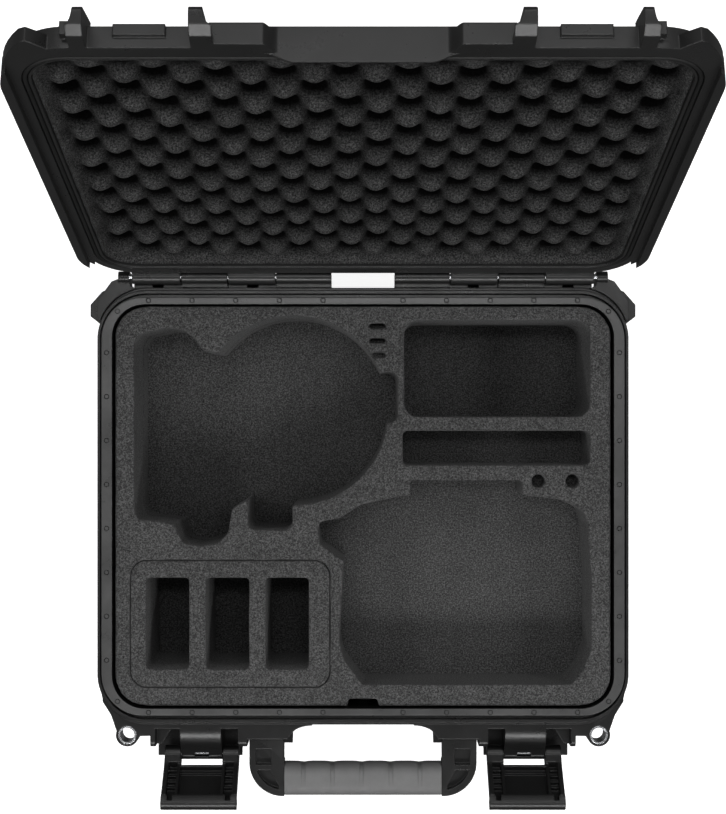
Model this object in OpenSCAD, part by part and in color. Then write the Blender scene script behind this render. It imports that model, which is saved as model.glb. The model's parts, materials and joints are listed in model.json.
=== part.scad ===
// Hard drone carrying case: hinged lid with egg-crate foam, cut-foam tray, two latches, folding handle.
// The case stands on z = 0 with its front (handle) towards -Y. The lid is drawn open.

/* [Case] */
// Outer width of the rim
rim_w = 358.6; // [350:0.2:370]
// Outer depth of the rim, front to back
rim_d = 296; // [292:1:304]
// Height of the rim plane above the ground
base_h = 92; // [88:1:100]
// Depth of the closed lid above the rim plane
lid_h = 34; // [32:1:38]
// Corner radius of the rim
rim_r = 33; // [30:1:36]
// Angle through which the lid is open
lid_open = 107; // [0:1:107]

/* [Foam] */
// Width of the foam insert
foam_w = 336; // [330:1:338]
// Depth of the foam insert
foam_d = 270.6; // [266:0.2:272]
// Corner radius of the foam insert
foam_r = 21; // [18:1:24]
// Thickness of the pad under the tray
pad_h = 10; // [6:1:12]
// Depth of the controller pocket, which is the upper tray's thickness
tray_h = 46; // [40:1:50]
// Clearance between the foam top and the rim plane
foam_drop = 4; // [3:0.5:6]

/* [Latches and handle] */
// Distance of each latch from the centre plane
latch_x = 110.5; // [108:0.5:112]
// Width of a latch lever
latch_w = 50.5; // [48:0.5:51]
// Angle through which the latches are open
latch_open = 70; // [0:1:100]
// Outer width of the handle
handle_w = 156; // [154:1:156]
// Reach of the handle from its pivot to its front edge
handle_reach = 42; // [40:1:48]

/* [Hidden] */
$fn = 48;

plastic = [0.09, 0.09, 0.095];
foam_grey = [0.13, 0.13, 0.135];
rubber = [0.03, 0.03, 0.03];
steel = [0.75, 0.76, 0.78];
grip_grey = [0.27, 0.27, 0.28];
play = 0.05;          // radial running clearance of every pivot

// Base shell
cavity_w = foam_w + 3.4;
cavity_d = foam_d + 2.8;
cavity_r = foam_r + 1.4;
floor_z = 6;
tub_w = rim_w - 8;    // outer width of the tub below the flange
tub_d = rim_d - 12;
tub_r = rim_r - 4;
draft = 2.5;          // how much the tub narrows towards its foot, per side
foot_chamfer = 6;
flange_z = base_h - 14;
groove_w = rim_w - 3.4;       // outer edge of the rim groove
groove_d = rim_d - 8.4;
land_w = rim_w - 5;           // outer edge of the sealing land
land_d = rim_d - 13.4;
land_r = 28;
tongue_y = groove_d / 2 - 0.4; // outer face of the lid's tongue
tongue_h = 4.6;
groove_z = base_h - 6;
land_z = base_h - 1;
rim_front = -rim_d / 2;
rim_back = rim_d / 2;
apron_z = base_h - 6;         // top of the front apron that carries the latches and handle
apron_t = 8;

// Hinge
hinge_y = rim_back + 7;
hinge_z = base_h;
knuckle_r = 4.8;
hinge_pin_r = 2;
// Inner and outer ends of the knuckles, measured from the centre plane
base_knuckles = [[21.4, 58.4], [91.4, 122.2]];
lid_knuckles = [[59.2, 90.6], [123, 155.4]];
hinge_end = 165;              // outer end of the end block on the base
hinge_pin_in = 24;
hinge_pin_out = 163;

// Lid
rail_x = 185.4;               // outer face of the side rails
skirt = 4;                    // how far the rails hang below the rim plane
egg_inset = 4;                // depth of the egg-crate peaks inside the lid

// Latch
latch_y = rim_front - 23;
latch_z = base_h - 21;
latch_rest = 134;             // direction of the lever at rest, from +Y towards +Z
latch_pin_r = 1.5;
lug_w = 28;
lug_r = 4;
bay_x0 = latch_x - 25.6;      // inner and outer ends of the latch bay
bay_x1 = latch_x + 30.8;
fin_in = 6;                   // thickness of the fin beside the handle
fin_out = 3.2;
fin_y = rim_front - 16;       // how far the fins stand out
bay_y = rim_front - 27;       // front edge of the bay's floor
lever_l = 42;                 // length of the lever from its pin
arm_l = lever_l - 7.4;        // where the arms end in the hook bar
window_z = 10;                // where the window ends and the panel begins
arm_in = 14.4;                // inner face of the lever's arms
catch_top = 12;               // height of the lid's front wall above the rim plane

// Handle
handle_y = rim_front - 10;
handle_z = base_h - 25;
handle_pin_r = 2;
handle_arm = 23.5;
handle_t = 14;
handle_r = 23;
pad_x = 50;                   // inner end of the pads beside the handle
pad_y = rim_front - 4.7;      // their outer face
grip_l = 108;
grip_d = 22.4;
grip_t = 20;

// Padlock eyelets
eyelet_x = 160;
eyelet_y = rim_front - 7.5;
eyelet_r = 7.8;
bush_r = 6.2;
bush_bore = 4.8;

// Pressure valve
valve_x = 0;
valve_z = 52;
valve_r = 5;

// Foam levels
tray_top = base_h - foam_drop;
tray_mid = tray_top - tray_h;
tray_bottom = floor_z + pad_h;

// ---------------------------------------------------------------- outlines
module rrect(w, d, r) {
    square([w - 2 * r, d], center = true);
    square([w, d - 2 * r], center = true);
    for (x = [-1, 1], y = [-1, 1])
        translate([x * (w / 2 - r), y * (d / 2 - r)]) circle(r);
}

// A rounded rectangle given by its edges
module rbox(x0, x1, y0, y1, r) {
    translate([(x0 + x1) / 2, (y0 + y1) / 2]) rrect(x1 - x0, y1 - y0, r);
}

function arc(cx, cy, r, a0, a1, n = 8) =
    [for (i = [0:n]) [cx + r * cos(a0 + (a1 - a0) * i / n), cy + r * sin(a0 + (a1 - a0) * i / n)]];

// A (y, z) outline drawn as a plate from x0 to x1
module plate_x(x0, x1) {
    translate([x0, 0, 0]) rotate([90, 0, 90]) linear_extrude(x1 - x0) children();
}

module both_sides() {
    children();
    mirror([1, 0, 0]) children();
}

module rod_x(x0, x1, y, z, r) {
    translate([x0, y, z]) rotate([0, 90, 0]) cylinder(r = r, h = x1 - x0);
}

// Turns a body that is drawn closed about an axis along X
module swing(y, z, angle) {
    translate([0, y, z]) rotate([angle, 0, 0]) translate([0, -y, -z]) children();
}

// ---------------------------------------------------------------- base shell
module base_outer() {
    hull() {
        linear_extrude(0.1) rrect(tub_w - 2 * draft - 2 * foot_chamfer, tub_d - 2 * draft - 2 * foot_chamfer,
                                  tub_r - foot_chamfer, $fn = 32);
        translate([0, 0, foot_chamfer])
            linear_extrude(0.1) rrect(tub_w - 2 * draft, tub_d - 2 * draft, tub_r - draft, $fn = 32);
        translate([0, 0, flange_z]) linear_extrude(0.1) rrect(tub_w, tub_d, tub_r, $fn = 32);
    }
    translate([0, 0, flange_z]) linear_extrude(base_h - flange_z) rrect(rim_w, rim_d, rim_r);
}

module rim_cuts() {
    // step outside the lip, in front and behind
    translate([0, 0, base_h - 4]) linear_extrude(10) difference() {
        square([rim_w + 10, rim_d + 10], center = true);
        rrect(rim_w + 0.1, rim_d - 4, rim_r);
    }
    // groove between the outer lip and the sealing land
    translate([0, 0, groove_z]) linear_extrude(base_h) difference() {
        rrect(groove_w, groove_d, rim_r - 2);
        rrect(land_w, land_d, land_r);
    }
    translate([0, 0, land_z]) linear_extrude(base_h) rrect(land_w + 1, land_d + 2, land_r);
    // cavity
    translate([0, 0, floor_z]) linear_extrude(base_h) rrect(cavity_w, cavity_d, cavity_r);
}

// Upright stiffening ribs under the flange
module wall_ribs() {
    rib = 3;
    rib_z0 = 14;
    for (y = [-84:28:84], s = [-1, 1])
        translate([s * (tub_w / 2 - 1.2) - rib / 2, y - rib / 2, rib_z0])
            cube([rib, rib, flange_z - rib_z0 + 1]);
    for (x = [-132:24:132])
        translate([x - rib / 2, tub_d / 2 - 2.7, rib_z0]) cube([rib, rib, flange_z - rib_z0 + 1]);
}

// Apron along the front: latch bays, handle blocks and corner plates
module apron_outline() {
    polygon(concat(
        [[34.5, rim_front + 10]],
        [for (a = [90:-9:9]) [34.5 + 14.8 * cos(a), rim_front - 9.2 + 8.1 * sin(a)]],
        [[50.3, rim_front - 9.2], [50.3, rim_front - 10.4], [bay_x0, rim_front - 10.4]],
        [[bay_x0, rim_front - 3.4], [bay_x1, rim_front - 3.4], [bay_x1, rim_front - 8]],
        [[eyelet_x, eyelet_y - 1], [eyelet_x + 5, eyelet_y - 4]],
        [[172.4, rim_front + 10], [177, rim_front + 18], [179.2, rim_front + 28], [170, rim_front + 30]]));
    translate([eyelet_x, eyelet_y]) circle(eyelet_r);
}

module apron() {
    translate([0, 0, apron_z - apron_t]) linear_extrude(apron_t) apron_outline();
    translate([eyelet_x, eyelet_y, apron_z - 14]) cylinder(r = eyelet_r, h = 14);
}

// Upright fins beside each latch; the inner one also holds the handle pin
module fin_outline() {
    polygon(concat([[rim_front + 6, latch_z - 24], [rim_front + 2, latch_z - 24]],
                   [[fin_y + 6, latch_z - 12]],
                   arc(fin_y + 5, latch_z - 7, 5, 225, 180, 3),
                   arc(fin_y + 4, apron_z - 4, 4, 180, 90, 4),
                   [[rim_front + 6, apron_z]]));
}

module fins() {
    // floor of the latch bay, from fin to fin
    plate_x(bay_x0 - 1, bay_x1 + 1)
        polygon([[rim_front + 6, latch_z - 24], [bay_y + 2, latch_z - 14.5], [bay_y, latch_z - 13.5],
                 [bay_y, latch_z - 12], [rim_front + 6, latch_z - 12]]);
    plate_x(bay_x0 - fin_in, bay_x0) fin_outline();
    plate_x(bay_x1, bay_x1 + fin_out) fin_outline();
    // gusset under the outer fin
    translate([0, 0, latch_z - 11]) linear_extrude(13)
        polygon([[bay_x1 - 9.5, rim_front - 6], [bay_x1 - 3.5, fin_y], [bay_x1 + fin_out, fin_y],
                 [bay_x1 + fin_out, rim_front - 2], [bay_x1 - 9.5, rim_front - 2]]);
}

// Centre lug of a latch bay, which holds the latch pin
module latch_lug() {
    plate_x(latch_x - lug_w / 2, latch_x + lug_w / 2) {
        translate([latch_y, latch_z]) circle(lug_r);
        polygon(concat([[rim_front + 6, latch_z - 16], [rim_front - 2, latch_z - 14]],
                       [[latch_y, latch_z - lug_r]],
                       arc(latch_y, latch_z, lug_r, 180, 150, 3),
                       arc(rim_front - 4, apron_z - 17, 17, 147, 90, 8),
                       [[rim_front + 6, apron_z]]));
    }
}

// Inner cheek that holds the other end of the handle pin
module handle_cheek() {
    x1 = handle_w / 2 - handle_arm - 0.5;
    plate_x(x1 - 5.5, x1) {
        translate([handle_y, handle_z]) circle(6.5);
        polygon([[rim_front + 6, apron_z - 1], [rim_front - 8, apron_z - 1], [handle_y - 5.8, handle_z + 3],
                 [handle_y - 6, handle_z], [rim_front + 6, handle_z]]);
        polygon([[rim_front + 6, handle_z - 22], [handle_y - 4, handle_z - 5], [handle_y - 6, handle_z + 2],
                 [rim_front + 6, handle_z + 2]]);
    }
}

// Rear knuckles, end blocks and the corner plates that the case stands on when it is carried upright
module rear_parts() {
    for (k = base_knuckles) {
        rod_x(k[0], k[1], hinge_y, hinge_z, knuckle_r);
        plate_x(k[0], k[1]) polygon([[rim_back - 4, flange_z - 2], [hinge_y + 1, hinge_z - 10],
                                     [hinge_y + knuckle_r, hinge_z], [rim_back - 1, hinge_z]]);
    }
    rod_x(lid_knuckles[1][1] + 2.2, hinge_end, hinge_y, hinge_z - 1, knuckle_r - 1);
    plate_x(lid_knuckles[1][1] + 2.2, hinge_end)
        polygon([[rim_back - 12, flange_z - 4], [hinge_y + 2, hinge_z - 12],
                 [hinge_y + knuckle_r - 1, hinge_z - 1], [rim_back - 12, hinge_z - 1]]);
    // ledge that joins the knuckles, slit under each lid knuckle
    difference() {
        translate([base_knuckles[0][0], rim_back - 2, base_h - 12])
            cube([lid_knuckles[1][1] - base_knuckles[0][0], 11, 5.3]);
        for (k = lid_knuckles)
            translate([(k[0] + k[1]) / 2 - 3.7, rim_back + 0.4, base_h - 13]) cube([7.4, 1.8, 8]);
    }
    // corner plate
    translate([0, 0, base_h - 12]) linear_extrude(11)
        polygon([[150, rim_back - 3], [hinge_end, hinge_y - 1], [170, hinge_y - 3], [179.5, rim_back - 9],
                 [179.5, rim_back - 22], [160, rim_back - 22]]);
    // corner bumper below it
    translate([0, 0, 20]) linear_extrude(base_h - 12 - 20)
        polygon([[160, rim_back - 14], [168, rim_back + 2], [178, rim_back - 2], [186, rim_back - 11],
                 [186, rim_back - 19], [172, rim_back - 30]]);
}

module front_corner_bumper() {
    translate([0, 0, 18]) linear_extrude(apron_z - apron_t - 17)
        polygon([[150, rim_front + 8], [154, rim_front - 2], [168, rim_front - 2], [178, rim_front + 14],
                 [178, rim_front + 28], [168, rim_front + 34]]);
}

module base_shell() color(plastic) difference() {
    union() {
        base_outer();
        wall_ribs();
        // boss round the pressure valve
        valve_at(-tub_d / 2 - 0.8) translate([0, 0, -5]) cylinder(r = 13, h = 5);
    }
    rim_cuts();
    // valve hole and its counterbore for the cap
    valve_at(-cavity_d / 2 + 1) cylinder(r = valve_r, h = 20);
    valve_at(-tub_d / 2 + 1) cylinder(r = 10, h = 20);
    // channels on the underside
    for (x = [-110, 110])
        translate([x - 6, -100, -1]) cube([12, 200, 2.2]);
}

// What stands out in front of the base: apron, latch bays, handle cheeks and corner bumpers
module base_front_mounts() color(plastic) both_sides() difference() {
    union() {
        apron();
        fins();
        latch_lug();
        handle_cheek();
        front_corner_bumper();
    }
    base_outer();
    rod_x(latch_x - lug_w, latch_x + lug_w, latch_y, latch_z, latch_pin_r);
    rod_x(handle_w / 2 - handle_arm - 8, bay_x0 - 1, handle_y, handle_z, handle_pin_r);
    // slot in the latch lug over the pin
    translate([latch_x - 4.7, latch_y - 1.6, latch_z]) cube([9.4, 3.2, 12]);
    // eyelet
    translate([eyelet_x, eyelet_y, apron_z - 20]) cylinder(r = bush_r, h = 40);
}

// What stands out behind the base: hinge knuckles, end blocks, corner plates and bumpers
module base_rear_mounts() color(plastic) both_sides() difference() {
    rear_parts();
    base_outer();
    rod_x(hinge_pin_in - 4, hinge_pin_out, hinge_y, hinge_z, hinge_pin_r);
}

module eyelet_bushings() color(steel)
    both_sides() translate([eyelet_x, eyelet_y, apron_z - 14]) difference() {
    cylinder(r = bush_r, h = 14.4);
    translate([0, 0, -1]) cylinder(r = bush_bore, h = 20);
}

// ---------------------------------------------------------------- foam
module foam_slab(z0, z1) {
    translate([0, 0, z0]) linear_extrude(z1 - z0) difference() {
        rrect(foam_w, foam_d, foam_r);
        // finger notches at the middle of the front edge, for lifting the tray
        translate([0, -foam_d / 2]) rrect(20, 9, 1.5);
    }
}

// Drone pocket: the folded body on the left, the propeller guards on the right
guard_c = [-47, 65];
guard_r = 64;
module drone_outline() {
    polygon([[-155, 110], [-151, 117], [-133, 121], [-121, 119], [-114, 113], [-108, 105], [-92, 103],
             [-70, 120],
             [-70, 10], [-89, -2], [-91.5, -18], [-98, -25], [-111, -27], [-122, -25], [-128, -12],
             [-136, -10.5], [-152, -9], [-155, -3]]);
    translate(guard_c) circle(guard_r);
    rbox(-78, -48, -16, 20, 6);
    translate([guard_c[0] + guard_r, guard_c[1] + 9]) rrect(13, 34, 5);
}

module controller_outline() {
    polygon([[-14, -7], [-1, 1], [26, 7], [32, 7], [32, 17.5], [108, 17.5], [108, 7.5], [134, 4.5], [149, -3],
             [152, -12], [154.5, -47], [154.5, -96], [149.5, -110], [141, -121], [0, -121], [-13, -104],
             [-16, -92], [-13.5, -43], [-12, -24]]);
    // finger notch on its left
    polygon([[-10, -7], [-29, -11], [-30.5, -15], [-29, -26], [-10, -39]]);
}

module hub_outline() rbox(28, 154, 60.5, 126, 10);
module accessory_outline() rbox(27, 154, 28, 51, 3);
module block_outline(grow = 0) offset_box(-157.5, -22.5, -122.8, -36.8, 11, grow);

// rbox grown on every side
module offset_box(x0, x1, y0, y1, r, g) {
    rbox(x0 - g, x1 + g, y0 - g, y1 + g, r + g);
}

module foam_tray_upper() color(foam_grey) difference() {
    foam_slab(tray_mid, tray_top);
    translate([0, 0, tray_mid - 1]) linear_extrude(tray_h + 2) {
        drone_outline();
        controller_outline();
        hub_outline();
        accessory_outline();
        block_outline(0.3);
    }
    // memory card slits and stick holes
    for (y = [102.5, 112.3, 122.3])
        translate([4, y - 1.7, tray_top - 12]) cube([11.5, 3.4, 13]);
    for (x = [119, 142])
        translate([x, 17, tray_top - 14]) cylinder(r = 4.6, h = 15);
}

module foam_tray_lower() color(foam_grey) difference() {
    foam_slab(tray_bottom, tray_mid);
    translate([0, 0, tray_bottom - 1]) linear_extrude(tray_h + 2) {
        drone_outline();
        hub_outline();
        block_outline(0.3);
    }
}

module foam_bottom_pad() color(foam_grey)
    translate([0, 0, floor_z]) linear_extrude(pad_h) rrect(foam_w, foam_d, foam_r);

module foam_battery_block() color(foam_grey)
    translate([0, 0, tray_bottom]) linear_extrude(tray_top - tray_bottom) difference() {
        block_outline();
        for (x = [-132.4, -91.9, -51.4]) rbox(x - 14.6, x + 14.6, -110.3, -48.6, 2);
    }

// ---------------------------------------------------------------- pins
module hinge_pin() color(steel) rod_x(hinge_pin_in, hinge_pin_out, hinge_y, hinge_z, hinge_pin_r);
module latch_pin() color(steel)
    rod_x(latch_x - latch_w / 2 + 0.4, latch_x + latch_w / 2 - 0.4, latch_y, latch_z, latch_pin_r);
module handle_pin() color(steel)
    rod_x(handle_w / 2 - handle_arm - 6, bay_x0 - 1.5, handle_y, handle_z, handle_pin_r);

// ---------------------------------------------------------------- pressure valve in the front wall
module valve_at(y) translate([valve_x, y, valve_z]) rotate([90, 0, 0]) children();

module valve_body() color(plastic) valve_at(-tub_d / 2 + 1) difference() {
    union() {
        cylinder(r = 8.5, h = 2.5);
        translate([0, 0, -9]) cylinder(r = valve_r, h = 10);
    }
    translate([0, 0, -10]) cylinder(r = 2.2, h = 20);
}
module valve_seal() color(rubber) valve_at(-tub_d / 2 + 1) difference() {
    cylinder(r = 9.8, h = 1.6);
    translate([0, 0, -1]) cylinder(r = 8.5, h = 4);
}
module valve_nut() color(plastic) valve_at(-cavity_d / 2) translate([0, 0, -4.5]) difference() {
    cylinder(r = 8, h = 4.5, $fn = 6);
    translate([0, 0, -1]) cylinder(r = valve_r, h = 8);
}
module valve_cap() color(plastic) valve_at(-tub_d / 2 - 1.5) difference() {
    cylinder(r = 8, h = 2.4);
    for (a = [0:60:300]) rotate(a) translate([5.2, 0, 1]) cylinder(r = 1.1, h = 3);
}

// ---------------------------------------------------------------- lid, drawn closed
module lid_slab(z, w, y0, y1, r) {
    translate([0, (y0 + y1) / 2, base_h + z]) linear_extrude(0.1) rrect(w, y1 - y0, r, $fn = 32);
}

module lid_outer() {
    front = rim_front - 1;
    translate([0, 0, base_h]) linear_extrude(catch_top)
        rbox(-rim_w / 2, rim_w / 2, front, rim_back, rim_r);
    hull() {
        lid_slab(catch_top - 0.1, rim_w, front, rim_back, rim_r);
        lid_slab(lid_h - 7, rim_w - 4, front + 26, rim_back - 2, rim_r);
        lid_slab(lid_h - 0.1, rim_w - 18, front + 38, rim_back - 9, rim_r - 4);
    }
}

// Hollow of the lid, drawn in from its walls by inset
module lid_cavity(inset = 0) {
    w = cavity_w - 2 * inset;
    front = -cavity_d / 2 + inset;
    back = cavity_d / 2 - inset;
    r = cavity_r - inset;
    translate([0, 0, base_h - 1]) linear_extrude(catch_top - inset) rbox(-w / 2, w / 2, front, back, r);
    hull() {
        lid_slab(catch_top - 1.2 - inset, w, front, back, r);
        lid_slab(lid_h - 9 - inset, w - 1, front + 24, back, r);
        lid_slab(lid_h - 3.1 - inset, w - 6, front + 34, back - 2, r);
    }
}

// Rail along one side, whose skirt hangs past the rim of the base
module side_rail() {
    for (part = [[rim_w / 2 - 2, 0, 9], [rim_w / 2 + 0.7, -skirt, skirt + 1]])
        translate([0, 0, base_h + part[1]]) linear_extrude(part[2]) difference() {
            rbox(-rail_x, rail_x, rim_front + 1, rim_back - 3, rim_r + 1);
            translate([-rim_w, -rim_d]) square([rim_w + part[0], 2 * rim_d]);
        }
}

// Plate across a front corner, over the padlock eyelet
module lid_corner() {
    translate([0, 0, base_h]) linear_extrude(8)
        polygon(concat(arc(119.4, -112, 65, 0, -40, 7),
                       [[165.5, rim_front - 7.5], [161, rim_front - 4], [150, rim_front + 6], [168, -120]]));
}

// Front of the lid: fins beside the latches, the catches, the pads beside the handle
module lid_fin(front_view) intersection() {
    plate_x(pad_x, rail_x) polygon(concat(
        [[rim_front + 4, base_h], [rim_front - 12, base_h], [rim_front - 17, base_h + 4]],
        arc(rim_front - 15, base_h + catch_top - 1.5, 3.5, 180, 90, 4),
        [[rim_front - 2, base_h + catch_top + 5], [rim_front + 8, base_h + catch_top + 7]]));
    translate([0, rim_front + 10, base_h]) rotate([90, 0, 0]) linear_extrude(40) polygon(front_view);
}

// Height of the fin's flank as it flares out towards x1
function flank(x0, x1, z0, z1) =
    [for (i = [0:6]) [x0 + (x1 - x0) * (1 - cos(15 * i)), z0 + (z1 - z0) * sin(15 * i)]];

module lid_front() {
    lid_fin(concat([[136.3, -1], [136.3, catch_top + 9], [140.4, catch_top + 9]],
                   flank(141, 144.6, catch_top + 2, 4), [[144.6, -1]]));
    lid_fin(concat([[84.7, -1], [84.7, catch_top], [83.5, catch_top + 9], [78.4, catch_top + 9]],
                   flank(78, 73.6, catch_top + 1, 4), [[73.6, -1]]));
    translate([144.3, rim_front - 6, base_h + 5]) cube([5, 10, catch_top - 5]);
    translate([latch_x - 13, rim_front - 3.3, base_h + 6]) cube([26, 4, catch_top - 6]);
    translate([pad_x, pad_y, base_h]) cube([76 - pad_x, 6, catch_top]);
}

module lid_hinges() {
    for (k = lid_knuckles) {
        rod_x(k[0], k[1], hinge_y, hinge_z, knuckle_r);
        plate_x(k[0], k[1]) polygon([[rim_back - 2, base_h + 0.5], [hinge_y, hinge_z],
                                     [hinge_y + knuckle_r, hinge_z],
                                     [hinge_y + 3, base_h + 6], [rim_back - 2, base_h + 10]]);
    }
}

// Rise along half an S-curve that starts at x0 and is run wide
function s_curve(x0, y0, run, rise) =
    [for (i = [0:8]) [x0 + run * i / 8, y0 + rise * (1 - cos(22.5 * i)) / 2]];

// Tongue under the front of the lid, which drops into the groove; its ends curve up
module lid_tongue() intersection() {
    translate([0, 0, base_h - tongue_h]) linear_extrude(tongue_h + 1) difference() {
        rrect(groove_w - 1, 2 * tongue_y, rim_r - 2.4);
        rrect(groove_w - 8, groove_d - 4, rim_r - 5);
    }
    both_sides() translate([0, 1 - tongue_y, base_h]) rotate([90, 0, 0]) linear_extrude(12)
        polygon(concat([[-1, 2], [-1, -tongue_h - 1]], s_curve(pad_x - 16, -tongue_h, 15, tongue_h),
                       [[pad_x, 2]]));
}

// Recess behind the handle, with S-curved ends; its face runs on into the tongue
module handle_recess() translate([0, 0, base_h - 1]) linear_extrude(lid_h + 2) both_sides()
    polygon(concat([[-1, rim_front - 20], [-1, -tongue_y]],
                   s_curve(pad_x - 8, -tongue_y, 8, pad_y + tongue_y - 0.2), [[pad_x, rim_front - 20]]));

module lid_shell() color(plastic) swing(hinge_y, hinge_z, -lid_open) difference() {
    union() {
        difference() {
            union() {
                lid_outer();
                both_sides() translate([pad_x - 8, pad_y, base_h]) cube([10, 8, catch_top]);
            }
            handle_recess();
        }
        both_sides() {
            side_rail();
            lid_corner();
            lid_front();
            lid_hinges();
        }
        lid_tongue();
    }
    lid_cavity();
    // gasket groove
    translate([0, 0, base_h - 1]) linear_extrude(3.4) difference() {
        rrect(cavity_w + 10.4, cavity_d + 7, cavity_r + 4.4);
        rrect(cavity_w + 3.4, cavity_d + 1.4, cavity_r + 1);
    }
    both_sides() {
        rod_x(hinge_pin_in - 1, hinge_pin_out + 1, hinge_y, hinge_z, hinge_pin_r + play);
        for (k = base_knuckles) rod_x(k[0] - 0.6, k[1] + 0.6, hinge_y, hinge_z, knuckle_r + 0.9);
    }
    // panel sunk into the top
    translate([0, 14, base_h + lid_h - 1]) linear_extrude(2) rrect(230, 150, 14);
}

module lid_gasket() color(rubber) swing(hinge_y, hinge_z, -lid_open)
    translate([0, 0, base_h - 0.6]) linear_extrude(3) difference() {
        rrect(cavity_w + 10.2, cavity_d + 6.8, cavity_r + 4.3);
        rrect(cavity_w + 3.6, cavity_d + 1.6, cavity_r + 1.1);
    }

// Egg-crate sheet: a plain block up to its peaks
module lid_foam() color(foam_grey) swing(hinge_y, hinge_z, -lid_open) difference() {
    lid_cavity(1.5);
    translate([-rim_w / 2, -rim_d / 2, base_h - 5]) cube([rim_w, rim_d, 5 + egg_inset]);
}

// ---------------------------------------------------------------- latch levers, drawn along +Z from the pin
// One arm: a channel with cross ribs, and a round eye on the pin
module lever_arm() {
    half = latch_w / 2;
    plate_x(arm_in, half) {
        circle(5.6);
        polygon([[5.2, -2], [3, 9], [-6, 9], [-5.6, 0]]);
    }
    plate_x(half - 3, half) polygon([[3, 9], [2.5, 12], [2.5, arm_l], [-6, arm_l], [-6, 9]]);
    plate_x(arm_in, arm_in + 2) polygon([[1, 9], [1, arm_l], [-6, arm_l], [-6, 9]]);
    translate([arm_in + 1, -6, 9]) cube([half - arm_in - 2, 2.4, arm_l - 9]);
    for (z = [13:4.4:30])
        translate([arm_in + 1, -5, z]) cube([half - arm_in - 2, 4.6, 1.2]);
}

module latch_lever() color(plastic) {
    half = latch_w / 2;
    difference() {
        union() {
            both_sides() lever_arm();
            // recessed panel
            translate([-arm_in - 1, -6, window_z]) cube([2 * arm_in + 2, 2.4, arm_l - window_z]);
            // crossbars: a proud one along the window, a low one above the panel
            translate([-arm_in - 1, -6, window_z]) cube([2 * arm_in + 2, 7, 1.6]);
            translate([-arm_in - 1, -6, window_z + 4]) cube([2 * arm_in + 2, 4, 1.2]);
            // hook bar
            plate_x(-half - 0.2, half + 0.2) polygon(concat(
                [[2.2, arm_l - 0.8], [2.2, arm_l + 1]], arc(-3, lever_l - 5, 5, 30, 100, 5),
                [[-7.5, lever_l - 2], [-7.5, arm_l - 0.8]]));
        }
        rod_x(-half - 1, half + 1, 0, 0, latch_pin_r + play);
        // notches through the hook bar beside the arms
        for (s = [-1, 1]) translate([s * 19.5 - 1.6, -1.2, arm_l - 3]) cube([3.2, 6, 6.4]);
    }
}

module place_latch(side)
    translate([side * latch_x, latch_y, latch_z]) rotate([latch_rest - 90, 0, 0]) latch_lever();

// ---------------------------------------------------------------- handle, drawn straight out to the front
handle_front = handle_y - handle_reach;
module handle_outline() {
    difference() {
        rbox(-handle_w / 2, handle_w / 2, handle_front, handle_y + 30, handle_r);
        translate([-handle_w, handle_y]) square([handle_w * 2, 60]);
        rbox(-handle_w / 2 + handle_arm, handle_w / 2 - handle_arm, handle_front + grip_d, handle_y + 40, 2);
    }
}

// Pockets of one arm: a square one, and one that follows the outer corner
module handle_pockets() {
    x1 = handle_w / 2 - 4.4;
    y1 = handle_y - 24.2;
    rbox(x1 - 10.8, x1, handle_y - 20.4, handle_y - 9.7, 0.8);
    intersection() {
        translate([handle_w / 2 - handle_r, handle_front + handle_r]) circle(handle_r - 4.5);
        polygon([[x1 - 10.1, y1], [x1 + 4, y1], [x1 + 4, handle_front], [x1 - 15.6, handle_front],
                 [x1 - 15.6, y1 - 10.5]]);
    }
}

module handle_frame() color(plastic) difference() {
    union() {
        translate([0, 0, handle_z - handle_t / 2]) linear_extrude(handle_t) handle_outline();
        both_sides() rod_x(handle_w / 2 - handle_arm, handle_w / 2, handle_y, handle_z, handle_t / 2);
    }
    both_sides()
        rod_x(handle_w / 2 - handle_arm - 1, handle_w / 2 + 1, handle_y, handle_z, handle_pin_r + play);
    both_sides() for (z = [-1, 1])
        translate([0, 0, handle_z + z * handle_t / 2 - 4.5]) linear_extrude(9) handle_pockets();
    // core that the grip is moulded over
    translate([0, 0, handle_z]) difference() {
        translate([-grip_l / 2, handle_front - 1, -20]) cube([grip_l, grip_d + 2, 40]);
        translate([-grip_l, handle_front + 5, -3]) cube([2 * grip_l, grip_d - 10, 6]);
    }
}

module handle_grip() color(grip_grey) difference() {
    translate([-grip_l / 2, handle_front + grip_d / 2, handle_z]) rotate([90, 0, 90])
        linear_extrude(grip_l) rrect(grip_d, grip_t, 8);
    translate([-grip_l, handle_front + 5, handle_z - 3]) cube([2 * grip_l, grip_d - 10, 6]);
    for (x = [-42:21:42])
        translate([x - 1.5, handle_front + grip_d - 1, handle_z - 12]) cube([3, 4, 24]);
}

base_shell();
base_front_mounts();
base_rear_mounts();
eyelet_bushings();
foam_bottom_pad();
foam_tray_lower();
foam_tray_upper();
foam_battery_block();
mirror([1, 0, 0]) hinge_pin();  // hinge_pin_left
hinge_pin();  // hinge_pin_right
mirror([1, 0, 0]) latch_pin();  // latch_pin_left
latch_pin();  // latch_pin_right
mirror([1, 0, 0]) handle_pin();  // handle_pin_left
handle_pin();  // handle_pin_right
valve_body();
valve_seal();
valve_nut();
valve_cap();
lid_shell();
lid_gasket();
lid_foam();
place_latch(-1);  // latch_lever_left
place_latch(1);  // latch_lever_right
handle_frame();
handle_grip();
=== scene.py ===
"""Looks of the drone carrying case: materials, softened foam, detail pieces, light and camera."""
import json
import math

import bpy
import numpy as np
from mathutils import Matrix, Vector


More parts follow.
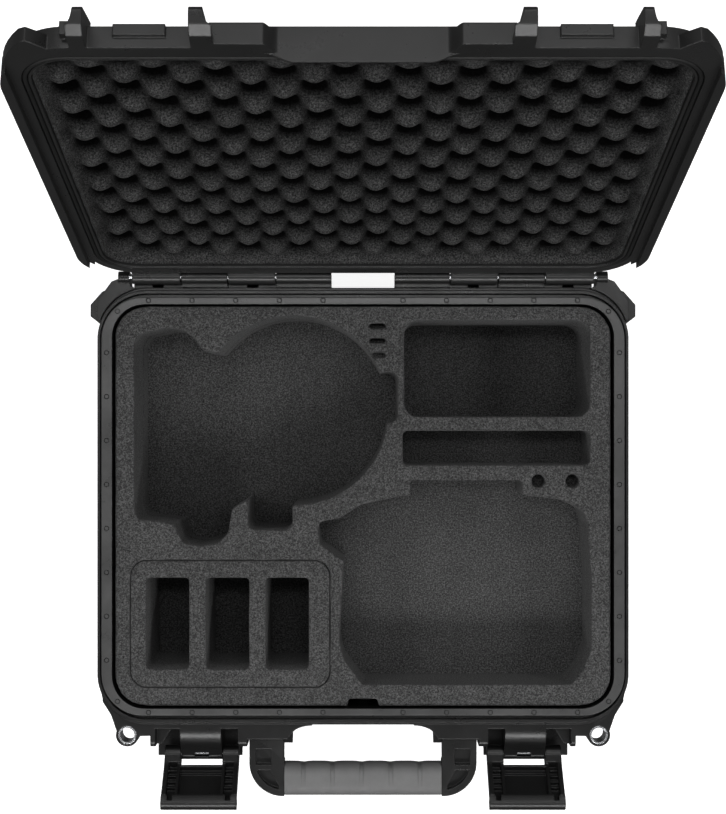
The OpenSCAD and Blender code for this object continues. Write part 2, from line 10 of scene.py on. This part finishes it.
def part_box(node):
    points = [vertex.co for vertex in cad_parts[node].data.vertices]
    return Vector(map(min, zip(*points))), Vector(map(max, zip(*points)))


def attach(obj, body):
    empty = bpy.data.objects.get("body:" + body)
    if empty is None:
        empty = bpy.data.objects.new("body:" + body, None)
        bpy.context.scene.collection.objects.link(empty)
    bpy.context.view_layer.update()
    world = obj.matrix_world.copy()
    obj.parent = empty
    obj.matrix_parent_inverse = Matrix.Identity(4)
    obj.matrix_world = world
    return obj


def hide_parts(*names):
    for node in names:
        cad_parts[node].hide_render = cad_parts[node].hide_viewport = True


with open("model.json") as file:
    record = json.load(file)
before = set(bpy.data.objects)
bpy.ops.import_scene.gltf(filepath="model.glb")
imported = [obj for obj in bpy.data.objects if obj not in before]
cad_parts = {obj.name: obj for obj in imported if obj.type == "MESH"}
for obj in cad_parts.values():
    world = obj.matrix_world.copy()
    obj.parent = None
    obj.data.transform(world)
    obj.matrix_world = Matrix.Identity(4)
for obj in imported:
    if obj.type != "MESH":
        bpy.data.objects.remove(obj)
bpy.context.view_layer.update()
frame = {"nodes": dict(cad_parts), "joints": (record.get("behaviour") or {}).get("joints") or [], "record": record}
NODES = frame["nodes"]
JOINTS = {j["name"]: j for j in frame["joints"]}
MM = 0.001

# ---------------------------------------------------------------- places, all from the frame
LID_HINGE = Vector(JOINTS["lid_hinge"]["pos_m"])
LID_OPEN = math.radians(JOINTS["lid_hinge"]["range_deg"][1])
RIM_Z = LID_HINGE.z
RIM_MM = RIM_Z / MM
LAND_Z = RIM_Z - 0.001          # sealing land, 1 mm below the rim plane
GRIP = np.array(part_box("handle_grip")) / MM

# The hollow of the base and lid in mm: the upper foam tray with its clearance
TRAY = np.array(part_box("foam_tray_upper")) / MM
CAVITY_W = TRAY[1][0] - TRAY[0][0] + 3.4
CAVITY_D = TRAY[1][1] - TRAY[0][1] + 2.8
CAVITY_R = 22.4


def closed_lid():
    """Matrix that takes a lid piece drawn closed to where the open lid is."""
    turn = Matrix.Rotation(-LID_OPEN, 4, "X")
    return Matrix.Translation(LID_HINGE) @ turn @ Matrix.Translation(-LID_HINGE)


# ---------------------------------------------------------------- material helpers
def new_material(name):
    mat = bpy.data.materials.new(name)
    mat.use_nodes = True
    tree = mat.node_tree
    shader = tree.nodes["Principled BSDF"]
    return mat, tree, shader


def add(tree, kind, **values):
    """A node with its attributes and inputs set by name; an input's name is written with _ for a space."""
    made = tree.nodes.new(kind)
    for key, value in values.items():
        if hasattr(made, key):
            setattr(made, key, value)
        else:
            made.inputs[key.replace("_", " ")].default_value = value
    return made


def noise(tree, scale, detail=2.0, rough=0.5, stretch=(1, 1, 1)):
    """Noise fixed to the object; scale counts its waves per metre."""
    place = add(tree, "ShaderNodeTexCoord")
    scaled = add(tree, "ShaderNodeMapping")
    scaled.inputs["Scale"].default_value = stretch
    tree.links.new(place.outputs["Object"], scaled.inputs["Vector"])
    made = add(tree, "ShaderNodeTexNoise", Scale=scale, Detail=detail, Roughness=rough)
    tree.links.new(scaled.outputs["Vector"], made.inputs["Vector"])
    return made.outputs["Fac"]


def ramp(tree, source, stops):
    """Colour ramp over the source; each stop is (position, grey value or colour)."""
    made = add(tree, "ShaderNodeValToRGB")
    elements = made.color_ramp.elements
    while len(elements) < len(stops):
        elements.new(0.5)
    for element, (at, value) in zip(elements, stops):
        element.position = at
        element.color = (*value, 1) if isinstance(value, tuple) else (value, value, value, 1)
    tree.links.new(source, made.inputs["Fac"])
    return made.outputs["Color"]


def bump(tree, height, strength, distance, before=None):
    """Bump from a height, on top of the normal given as before."""
    made = add(tree, "ShaderNodeBump", Strength=strength, Distance=distance)
    tree.links.new(height, made.inputs["Height"])
    if before is not None:
        tree.links.new(before, made.inputs["Normal"])
    return made.outputs["Normal"]


def mix(tree, blend, a, b):
    """Full blend of colour b over colour a."""
    made = add(tree, "ShaderNodeMixRGB", blend_type=blend)
    made.inputs["Fac"].default_value = 1.0
    tree.links.new(a, made.inputs["Color1"])
    tree.links.new(b, made.inputs["Color2"])
    return made.outputs["Color"]


# ---------------------------------------------------------------- materials
EDGE_RADIUS = 0.0011            # rounding that the plastic's edges show, in metres


def moulded_plastic(name, dark, light, rough):
    """Black injection-moulded plastic: fine spark-eroded grain, paler edges that are partly rubbed wear and partly
    a painted highlight, faint handling marks.
    """
    mat, tree, shader = new_material(name)
    blotch = ramp(tree, noise(tree, 22, 4, 0.6), [(0.3, dark), (0.75, light)])
    edge = add(tree, "ShaderNodeNewGeometry").outputs["Pointiness"]
    # painted highlight mixed with wear: the base colour is made paler at sharp edges, standing in partly for the
    # bright edge lines that light gives them
    wear_and_painted_highlight = ramp(tree, edge, [(0.54, 0.0), (0.62, light * 0.9)])
    tree.links.new(mix(tree, "ADD", blotch, wear_and_painted_highlight), shader.inputs["Base Color"])
    gloss = ramp(tree, noise(tree, 60, 5, 0.7), [(0.3, rough - 0.03), (0.7, rough + 0.05)])
    tree.links.new(gloss, shader.inputs["Roughness"])
    rounded = add(tree, "ShaderNodeBevel", Radius=EDGE_RADIUS, samples=6).outputs["Normal"]
    grain = bump(tree, noise(tree, 1900, 2, 0.6), 0.2, 0.00012, rounded)
    tree.links.new(bump(tree, noise(tree, 16, 3), 0.04, 0.0006, grain), shader.inputs["Normal"])
    shader.inputs["Specular IOR Level"].default_value = 0.5
    return mat


def foam_material(name, dark, mid, light):
    """Open-cell foam: dark pores and pale flecks, with a soft nap."""
    mat, tree, shader = new_material(name)
    pores = ramp(tree, noise(tree, 950, 3, 0.8), [(0.36, dark), (0.5, mid), (0.66, light)])
    cloud = ramp(tree, noise(tree, 34, 3, 0.6), [(0.25, 0.78), (0.8, 1.0)])
    tree.links.new(mix(tree, "MULTIPLY", pores, cloud), shader.inputs["Base Color"])
    shader.inputs["Roughness"].default_value = 0.96
    shader.inputs["Specular IOR Level"].default_value = 0.1
    shader.inputs["Sheen Weight"].default_value = 0.08
    shader.inputs["Sheen Roughness"].default_value = 0.6
    cells = bump(tree, noise(tree, 1100, 3, 0.8), 0.8, 0.0004)
    tree.links.new(bump(tree, noise(tree, 90, 3), 0.35, 0.0007, cells), shader.inputs["Normal"])
    return mat


def painted_pit_shade(material):
    """Painted shade: darkens the egg-crate foam's colour towards the bottom of its pits, where shade falls between
    the peaks.
    """
    tree = material.node_tree
    shader = tree.nodes["Principled BSDF"]
    height = add(tree, "ShaderNodeAttribute", attribute_name="peak").outputs["Fac"]
    # painted shade: the lower a point lies in a pit, the more its colour is darkened
    shade = ramp(tree, height, [(0.0, 0.0), (0.5, 0.04), (0.72, 0.6), (0.9, 1.0)])
    before = shader.inputs["Base Color"].links[0].from_socket
    tree.links.new(mix(tree, "MULTIPLY", before, shade), shader.inputs["Base Color"])
    shader.inputs["Sheen Weight"].default_value = 0.0
    shader.inputs["Specular IOR Level"].default_value = 0.04


def rubber_material(name, dark, light, rough):
    """Moulded rubber: even tone, fine matt grain, a few paler scuffs."""
    mat, tree, shader = new_material(name)
    tone = ramp(tree, noise(tree, 120, 4, 0.6), [(0.3, dark), (0.7, light)])
    tree.links.new(tone, shader.inputs["Base Color"])
    gloss = ramp(tree, noise(tree, 45, 4, 0.6), [(0.3, rough - 0.06), (0.7, rough + 0.06)])
    tree.links.new(gloss, shader.inputs["Roughness"])
    tree.links.new(bump(tree, noise(tree, 1500, 2, 0.6), 0.3, 0.00012), shader.inputs["Normal"])
    return mat


def steel_material(name):
    """Turned steel with fine uneven rings and slightly uneven gloss."""
    mat, tree, shader = new_material(name)
    rings = noise(tree, 300, 3, 0.6, (1, 1, 6))
    tone = ramp(tree, rings, [(0.3, (0.62, 0.63, 0.65)), (0.7, (0.80, 0.81, 0.83))])
    tree.links.new(tone, shader.inputs["Base Color"])
    shader.inputs["Metallic"].default_value = 1.0
    gloss = ramp(tree, noise(tree, 900, 3, 0.6, (1, 1, 8)), [(0.3, 0.16), (0.7, 0.32)])
    tree.links.new(gloss, shader.inputs["Roughness"])
    return mat


def painted_land_sheen(material):
    """The plastic again, paler on the sealing land: a painted sheen, the light that the land catches, put into its
    colour.
    """
    mat = material.copy()
    mat.name = "black_plastic_rim"
    tree = mat.node_tree
    shader = tree.nodes["Principled BSDF"]
    place = add(tree, "ShaderNodeTexCoord")
    split = add(tree, "ShaderNodeSeparateXYZ")
    tree.links.new(place.outputs["Object"], split.inputs["Vector"])
    # the painted sheen covers a narrow band of heights round the land, so that walls and rim above and below keep
    # their black
    height = add(tree, "ShaderNodeMapRange", clamp=True, From_Min=LAND_Z - 0.0012, From_Max=LAND_Z + 0.0008)
    tree.links.new(split.outputs["Z"], height.inputs["Value"])
    sheen_band_stops = [(0.0, 0.0), (0.5, 0.0), (0.56, 1.0), (0.72, 1.0), (0.8, 0.0)]
    sheen_band = ramp(tree, height.outputs["Result"], sheen_band_stops)
    patchy_sheen = ramp(tree, noise(tree, 30, 4, 0.6), [(0.3, 0.045), (0.75, 0.085)])
    sheen_tint = mix(tree, "MULTIPLY", sheen_band, patchy_sheen)
    before = shader.inputs["Base Color"].links[0].from_socket
    # painted sheen: the patchy pale tint is added to the base colour on the land
    tree.links.new(mix(tree, "ADD", before, sheen_tint), shader.inputs["Base Color"])
    return mat


PLASTIC = moulded_plastic("black_plastic", 0.006, 0.011, 0.29)
RIM_PLASTIC = painted_land_sheen(PLASTIC)
FOAM = foam_material("tray_foam", 0.019, 0.070, 0.165)
EGG = foam_material("egg_crate_foam", 0.012, 0.050, 0.132)
painted_pit_shade(EGG)
SEAL = rubber_material("seal_rubber", 0.004, 0.007, 0.6)
GRIP_RUBBER = rubber_material("grip_rubber", 0.150, 0.175, 0.62)
STEEL = steel_material("turned_steel")
BY_SLOT = {"shell_plastic": PLASTIC, "foam": FOAM, "seal_rubber": SEAL,
           "grip_rubber": GRIP_RUBBER, "steel": STEEL}
for part in frame["record"]["subparts"]:
    slots = NODES[part["node"]].data.materials
    slots.clear()
    slots.append(BY_SLOT[part["material_slot"]])
NODES["base_shell"].data.materials[0] = RIM_PLASTIC


# ---------------------------------------------------------------- mesh helpers
def make_object(name, mesh, material, body):
    obj = bpy.data.objects.new(name, mesh)
    bpy.context.scene.collection.objects.link(obj)
    mesh.materials.clear()
    mesh.materials.append(material)
    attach(obj, body)
    return obj


def mesh_from(name, points, faces):
    mesh = bpy.data.meshes.new(name)
    mesh.from_pydata([tuple(p) for p in points], [], faces)
    mesh.update()
    mesh.validate()
    for face in mesh.polygons:
        face.use_smooth = True
    return mesh


def baked(obj):
    """The object's mesh with its modifiers applied, as a new mesh."""
    bpy.context.view_layer.update()
    graph = bpy.context.evaluated_depsgraph_get()
    return bpy.data.meshes.new_from_object(obj.evaluated_get(graph))


# Bevel widths of the hard nodes, in mm
BEVELS = {"base_shell": 0.6, "base_front_mounts": 0.6, "base_rear_mounts": 0.6, "lid_shell": 0.8,
          "latch_lever_left": 0.4, "latch_lever_right": 0.4, "handle_frame": 0.8, "valve_cap": 0.3,
          "eyelet_bushings": 0.4}
FLAT_ANGLE = 1.5                # faces that meet at less than this become one
SHARP_ANGLE = 28                # edges sharper than this are bevelled


def polish(node, width):
    """Rounds the edges of a CAD node with modifiers, which leave its own mesh alone."""
    obj = NODES[node]
    weld = obj.modifiers.new("weld", "WELD")
    weld.merge_threshold = 0.02 * MM
    flat = obj.modifiers.new("flat", "DECIMATE")
    flat.decimate_type = "DISSOLVE"
    flat.angle_limit = math.radians(FLAT_ANGLE)
    bevel = obj.modifiers.new("bevel", "BEVEL")
    bevel.width = width * MM
    bevel.segments = 2
    bevel.limit_method = "ANGLE"
    bevel.angle_limit = math.radians(SHARP_ANGLE)
    bevel.miter_outer = "MITER_ARC"
    bevel.harden_normals = True
    for face in obj.data.polygons:
        face.use_smooth = True
    smooth = obj.modifiers.new("normals", "WEIGHTED_NORMAL")
    smooth.keep_sharp = True


for hard_node, bevel_width in BEVELS.items():
    polish(hard_node, bevel_width)


# ---------------------------------------------------------------- cut foam
WIRE_WANDER = 0.11              # mm by which the hot wire wanders sideways


def cut_foam(node, voxel, passes):
    """The CAD foam piece with the soft, slightly uneven edges of foam cut by a hot wire."""
    source = NODES[node]
    copy = bpy.data.objects.new("remeshed", source.data.copy())
    bpy.context.scene.collection.objects.link(copy)
    remesh = copy.modifiers.new("remesh", "REMESH")
    remesh.mode = "VOXEL"
    remesh.voxel_size = voxel * MM
    smooth = copy.modifiers.new("smooth", "SMOOTH")
    smooth.factor = 0.5
    smooth.iterations = passes
    mesh = baked(copy)
    bpy.data.objects.remove(copy)
    points = np.empty(len(mesh.vertices) * 3)
    mesh.vertices.foreach_get("co", points)
    points = points.reshape(-1, 3)
    x, y, z = (points / MM).T
    wave_x = np.sin(x / 4.1 + 1.7 * np.sin(y / 7.3)) * np.sin(z / 5.2 + x / 9.0)
    wave_y = np.sin(y / 3.7 + 1.3 * np.sin(x / 6.1)) * np.sin(z / 4.6 + y / 8.0)
    low, high = np.array(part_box(node))
    middle = (low + high) / 2
    # the waves are mirrored about the middle, and the piece stays inside the CAD solid's box
    points[:, 0] += WIRE_WANDER * MM * wave_x * np.sign(middle[0] - points[:, 0])
    points[:, 1] += WIRE_WANDER * MM * wave_y * np.sign(middle[1] - points[:, 1])
    mesh.vertices.foreach_set("co", np.clip(points, low, high).ravel())
    mesh.update()
    for face in mesh.polygons:
        face.use_smooth = True
    piece = make_object(node.replace("foam_", "cut_foam_"), mesh, FOAM, "base")
    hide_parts(node)


cut_foam("foam_tray_upper", 1.1, 3)
cut_foam("foam_battery_block", 1.1, 3)
cut_foam("foam_tray_lower", 1.8, 2)
cut_foam("foam_bottom_pad", 2.4, 2)


# ---------------------------------------------------------------- egg-crate lining of the lid
def rounded_grid(width, depth, radius, step):
    """A grid over a rounded rectangle, whose rows and columns bend so that its border is the outline."""
    flat_x, flat_y = width / 2 - radius, depth / 2 - radius

    def stations(span):
        straight = span / 2 - radius
        middle = np.linspace(-straight, straight, max(2, round(2 * straight / step)) + 1)
        corner = np.linspace(0, radius, round(radius / step) + 1)[1:]
        return np.concatenate([-straight - corner[::-1], middle, straight + corner])
    xs, ys = np.meshgrid(stations(width), stations(depth), indexing="ij")
    # inside a corner, a square of side radius is mapped to a quarter disc
    over_x = np.clip(np.abs(xs) - flat_x, 0, None) / radius
    over_y = np.clip(np.abs(ys) - flat_y, 0, None) / radius
    reach_x = radius * over_x * np.sqrt(1 - over_y ** 2 / 2)
    reach_y = radius * over_y * np.sqrt(1 - over_x ** 2 / 2)
    x = np.sign(xs) * (np.minimum(np.abs(xs), flat_x) + reach_x)
    y = np.sign(ys) * (np.minimum(np.abs(ys), flat_y) + reach_y)
    return x, y


def grid_solid(x, y, low, high):
    """Points and faces of a closed solid between two height fields over one grid."""
    rows, cols = x.shape
    points = np.concatenate([np.stack([x, y, z], -1).reshape(-1, 3) for z in (low, high)])
    upper = rows * cols

    def at(i, j):
        return i * cols + j
    faces = []
    for i in range(rows - 1):
        for j in range(cols - 1):
            quad = [at(i, j), at(i + 1, j), at(i + 1, j + 1), at(i, j + 1)]
            faces.append(quad[::-1])
            faces.append([v + upper for v in quad])
    border = [at(i, 0) for i in range(rows)]
    border += [at(rows - 1, j) for j in range(1, cols)]
    border += [at(i, cols - 1) for i in range(rows - 2, -1, -1)]
    border += [at(0, j) for j in range(cols - 2, 0, -1)]
    for v, w in zip(border, border[1:] + border[:1]):
        faces.append([v, w, w + upper, v + upper])
    return points, faces


# The lining, in mm, with the lid closed
EGG_GAP = 0.4                   # clearance to the lid's walls
EGG_STEP = 1.5                  # spacing of the grid's points
EGG_PEAK = RIM_MM + 4           # height of the peaks' crowns
EGG_DEEP = 17                   # depth of a valley
EGG_SKIN = 2.0                  # foam left behind the deepest valley
EGG_PITCH = 16.5                # half the distance between peaks in one row
EGG_START = (156.75, 8)         # shift of the pattern along x and y
EGG_FADE = 5.5                  # distance from the wall over which the valleys run out
EGG_LIP = 2.4                   # how far the border is pressed forward
# Back of the sheet: (distance from the front wall, height), as the front of the lid slopes
EGG_BACK = [(0, RIM_MM + 9.3), (24, RIM_MM + 23.5), (34, RIM_MM + 29.3), (300, RIM_MM + 29.3)]


def egg_crate():
    """Convoluted foam: staggered rounded peaks with narrow valleys, whose darkness is painted shade in the
    material, thinner where the lid slopes.
    """
    width, depth = CAVITY_W - 2 * EGG_GAP, CAVITY_D - 2 * EGG_GAP
    x, y = rounded_grid(width, depth, CAVITY_R - EGG_GAP, EGG_STEP)
    back = np.interp(y + depth / 2, *zip(*EGG_BACK))
    bent_x = x + 0.9 * np.sin(y / 21 + 0.7) + 0.5 * np.sin(y / 9 + x / 17)
    bent_y = y + 0.9 * np.sin(x / 19 + 2.1) + 0.5 * np.sin(x / 8 - y / 15)
    across = np.cos(math.pi * (bent_x + EGG_START[0]) / EGG_PITCH)
    along = np.cos(math.pi * (bent_y + EGG_START[1]) / EGG_PITCH)
    peak = ((1 + across * along) / 2) ** 0.62
    uneven = 1 + 0.05 * np.sin(x / 13 + 1.9 * np.sin(y / 29)) + 0.04 * np.sin(y / 11 + x / 37)
    deep = np.minimum(EGG_DEEP, back - EGG_PEAK - EGG_SKIN) * np.clip(uneven, 0.9, 1.0)
    # the sheet is pressed forward where it meets the walls, so the valleys run out there
    past_x = np.abs(x) - (width / 2 - CAVITY_R)
    past_y = np.abs(y) - (depth / 2 - CAVITY_R)
    to_wall = CAVITY_R - np.hypot(np.clip(past_x, 0, None), np.clip(past_y, 0, None))
    to_wall -= np.clip(np.maximum(past_x, past_y), None, 0)
    inner = np.clip(to_wall / EGG_FADE, 0, 1)
    valley = (1 - peak) * deep * (0.02 + 0.98 * inner ** 0.7)
    front = EGG_PEAK - EGG_LIP * (1 - inner) ** 2 + valley
    points, faces = grid_solid(x, y, front, back)
    mesh = mesh_from("egg_crate", points * MM, faces)
    # height handed to the material's painted shade; near the walls the pits are darkened less
    pit_shade_height = 1 - (1 - peak) * (0.15 + 0.85 * inner)
    heights = mesh.attributes.new("peak", "FLOAT", "POINT")
    heights.data.foreach_set("value", np.tile(pit_shade_height.ravel(), 2))
    mesh.transform(closed_lid())
    piece = make_object("egg_crate_lining", mesh, EGG, "lid")
    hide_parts("lid_foam")


egg_crate()


# ---------------------------------------------------------------- swept rings and the handle grip
def rounded_loop(width, depth, radius, corner_steps=12):
    """Centre line and outward normal of a rounded rectangle, once round."""
    centres = [(1, 1, 0), (-1, 1, 90), (-1, -1, 180), (1, -1, 270)]
    loop = []
    for sx, sy, start in centres:
        for step in range(corner_steps + 1):
            turn = math.radians(start + 90 * step / corner_steps)
            normal = (math.cos(turn), math.sin(turn))
            loop.append((sx * (width / 2 - radius) + radius * normal[0],
                         sy * (depth / 2 - radius) + radius * normal[1], *normal))
    return loop


def swept_ring(loop, profile):
    """Points and faces of a closed ring; the profile gives (outward, up) points round its section."""
    points = [(x + nx * out, y + ny * out, up) for x, y, nx, ny in loop for out, up in profile]
    n, m = len(loop), len(profile)
    faces = [[i * m + j, i * m + (j + 1) % m, (i + 1) % n * m + (j + 1) % m, (i + 1) % n * m + j]
             for i in range(n) for j in range(m)]
    return points, faces


def lid_seal():
    """D-section sponge cord pressed into the lid's groove, round side towards the base."""
    low, high = RIM_MM - 0.6, RIM_MM + 2.35
    half = 1.3
    profile = [(-half, high), (half, high)]
    profile += [(half * math.cos(a), low + half - half * math.sin(a))
                for a in np.linspace(0, math.pi, 11)]
    loop = rounded_loop(CAVITY_W + 6.9, CAVITY_D + 4.2, CAVITY_R + 2.7)
    points, faces = swept_ring(loop, profile[::-1])
    mesh = mesh_from("lid_seal", np.array(points) * MM, faces)
    mesh.transform(closed_lid())
    piece = make_object("lid_seal_cord", mesh, SEAL, "lid")
    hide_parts("lid_gasket")


lid_seal()

# The grip, in mm
FINGER_SLOTS = [20 * k - 41 for k in range(5)]
GRIP_ROUND = 8.0                # corner radius of its section
GRIP_ENDS = 0.6                 # length over which its ends are rounded
SLOT_DEEP, SLOT_HALF = 0.9, 1.35
SCALLOP_DEEP, SCALLOP_HALF = 0.55, 3.2


def handle_grip():
    """Moulded grip: soft square section, five slots in its upper rear face and a scalloped rear edge."""
    low, high = GRIP
    middle = (low + high) / 2
    half_y, half_z = (high[1] - low[1]) / 2, (high[2] - low[2]) / 2
    turns = np.linspace(0, 2 * math.pi, 96, endpoint=False)
    # the section: a rounded square, whose normals (out_y, out_z) are those of its corner rounds
    out_y, out_z = np.cos(turns), np.sin(turns)
    out_y[np.abs(out_y) < 1e-6] = 0
    out_z[np.abs(out_z) < 1e-6] = 0
    section_y = np.sign(out_y) * (half_y - GRIP_ROUND) + GRIP_ROUND * out_y
    section_z = np.sign(out_z) * (half_z - GRIP_ROUND) + GRIP_ROUND * out_z
    rear = np.clip(out_y, 0, 1) ** 2
    # a slot runs from just past the crown of the top round to the rear face
    reach = np.clip((section_y + 1.2) / 1.4, 0, 1) * np.clip((section_z + 4.0) / 1.5, 0, 1)
    inside = np.arange(low[0] + 1, high[0] - 0.9, 0.4)
    left_end = [low[0], low[0] + 0.05, low[0] + GRIP_ENDS]
    right_end = [high[0] - GRIP_ENDS, high[0] - 0.05, high[0]]
    rings = []
    for x in np.concatenate([left_end, inside, right_end]):
        end = min(x - low[0], high[0] - x)
        shrink = 0.5 * (1 - min(1, end / GRIP_ENDS)) ** 2
        near = min(abs(x - slot) for slot in FINGER_SLOTS)
        dip = SCALLOP_DEEP * math.exp(-(near / SCALLOP_HALF) ** 2) * rear
        wall = 1 / (1 + math.exp((near - SLOT_HALF) / 0.14))
        cut = dip + SLOT_DEEP * wall * reach + shrink
        rings.append(np.stack([np.full(len(turns), x), section_y - out_y * cut + middle[1],
                               section_z - out_z * cut + middle[2]], -1))
    count, last = len(turns), len(rings) - 1
    faces = []
    for i in range(last):
        for j in range(count):
            k = (j + 1) % count
            faces.append([i * count + j, (i + 1) * count + j, (i + 1) * count + k, i * count + k])
    faces.append(list(range(count)))
    faces.append([last * count + j for j in reversed(range(count))])
    mesh = mesh_from("grip", np.concatenate(rings) * MM, faces)
    piece = make_object("moulded_grip", mesh, GRIP_RUBBER, "handle")
    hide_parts("handle_grip")


handle_grip()


# ---------------------------------------------------------------- small moulded details
def ring_solid(radius, wire, turns=20, sides=6):
    """Points and faces of a small torus flat on the XY plane."""
    points, faces = [], []
    for i in range(turns):
        a = 2 * math.pi * i / turns
        for j in range(sides):
            b = 2 * math.pi * j / sides
            reach = radius + wire * math.cos(b)
            points.append((reach * math.cos(a), reach * math.sin(a), wire * math.sin(b)))
            faces.append((i * sides + j, (i + 1) % turns * sides + j,
                          (i + 1) % turns * sides + (j + 1) % sides, i * sides + (j + 1) % sides))
    return points, faces


def joined(shapes):
    """One list of points and faces from several, each with its own place."""
    points, faces = [], []
    for (more, sides), place in shapes:
        start = len(points)
        points += [place @ Vector(p) for p in more]
        faces += [[v + start for v in face] for face in sides]
    return points, faces


# Centre line of the sealing land, in mm
LAND_HALF_W, LAND_HALF_D = CAVITY_W / 2 + 3.6, CAVITY_D / 2 + 2.5
LAND_ROUND = 25.2


def pin_marks():
    """Rings that the mould's ejector pins leave along the sealing land, about 30 mm apart."""
    across = [s * (27 + 29.5 * k) for k in range(5) for s in (-1, 1)]
    along = [-104 + 29.7 * k for k in range(8)]
    corner = LAND_ROUND * (1 - math.sqrt(0.5))
    places = [(x, s * LAND_HALF_D) for x in across for s in (-1, 1)]
    places += [(s * LAND_HALF_W, y) for y in along for s in (-1, 1)]
    places += [(sx * (LAND_HALF_W - corner), sy * (LAND_HALF_D - corner)) for sx in (-1, 1) for sy in (-1, 1)]
    ring = ring_solid(1.5, 0.32)
    level = LAND_Z / MM + 0.02
    points, faces = joined([(ring, Matrix.Translation((x, y, level))) for x, y in places])
    mesh = mesh_from("pin_marks", [p * MM for p in points], faces)
    make_object("rim_pin_marks", mesh, PLASTIC, "base")


pin_marks()

# ---------------------------------------------------------------- camera and light
cam_data = bpy.data.cameras.new("camera")
cam_data.sensor_width = 36
cam_data.lens = 70.231
cam = bpy.data.objects.new("camera", cam_data)
bpy.context.scene.collection.objects.link(cam)
cam.location = (0, 0.0672, RIM_Z + 1.072)
bpy.context.scene.camera = cam


def soft_light(name, place, aim, width, height, watts):
    """A rectangular softbox at place, turned towards aim."""
    data = bpy.data.lights.new(name, "AREA")
    data.shape = "RECTANGLE"
    data.size = width
    data.size_y = height
    data.energy = watts
    light = bpy.data.objects.new(name, data)
    bpy.context.scene.collection.objects.link(light)
    light.location = place
    light.rotation_euler = (Vector(aim) - Vector(place)).to_track_quat("-Z", "Y").to_euler()


soft_light("front", (0, -1.15, 1.25), (0, -0.1, 0.09), 1.3, 0.3, 12)
soft_light("left", (-1.2, 0.1, 1.15), (0, 0, 0.09), 1.4, 0.3, 5)
soft_light("right", (1.2, 0.1, 1.15), (0, 0, 0.09), 1.4, 0.3, 5)
soft_light("back", (0, 1.15, 1.45), (0, 0.1, 0.12), 1.5, 0.3, 3)
soft_light("top", (0, 0.30, 1.5), (0, 0.16, 0.09), 0.8, 0.15, 2.5)

SKY, GROUND = 0.22, 0.07        # brightness of the studio above and below the horizon
FLOOR_HALF = 14


def studio_world():
    """Even grey surroundings, lighter above than below."""
    world = bpy.data.worlds.new("studio")
    world.use_nodes = True
    tree = world.node_tree
    direction = add(tree, "ShaderNodeTexCoord")
    split = add(tree, "ShaderNodeSeparateXYZ")
    tree.links.new(direction.outputs["Generated"], split.inputs["Vector"])
    glow = ramp(tree, split.outputs["Z"], [(0.0, GROUND), (0.25, SKY)])
    tree.links.new(glow, tree.nodes["Background"].inputs["Color"])
    tree.nodes["Background"].inputs["Strength"].default_value = 1.0
    bpy.context.scene.world = world
    bpy.context.scene.view_settings.view_transform = "Standard"


def paper_floor():
    """White backdrop paper, lit from within so that it stays white and throws no light on the case."""
    mat, tree, shader = new_material("floor_paper")
    shader.inputs["Roughness"].default_value = 0.9
    tone = ramp(tree, noise(tree, 3, 2), [(0.3, 0.90), (0.7, 0.93)])
    tree.links.new(tone, shader.inputs["Base Color"])
    shader.inputs["Emission Color"].default_value = (1, 1, 1, 1)
    shader.inputs["Emission Strength"].default_value = 0.75
    corners = [(x * FLOOR_HALF, y * FLOOR_HALF, 0) for x, y in [(-1, -1), (1, -1), (1, 1), (-1, 1)]]
    mesh = mesh_from("floor", corners, [(0, 1, 2, 3)])
    mesh.materials.append(mat)
    floor = bpy.data.objects.new("floor", mesh)
    bpy.context.scene.collection.objects.link(floor)
    floor.visible_diffuse = False
    floor.visible_glossy = False


studio_world()
paper_floor()
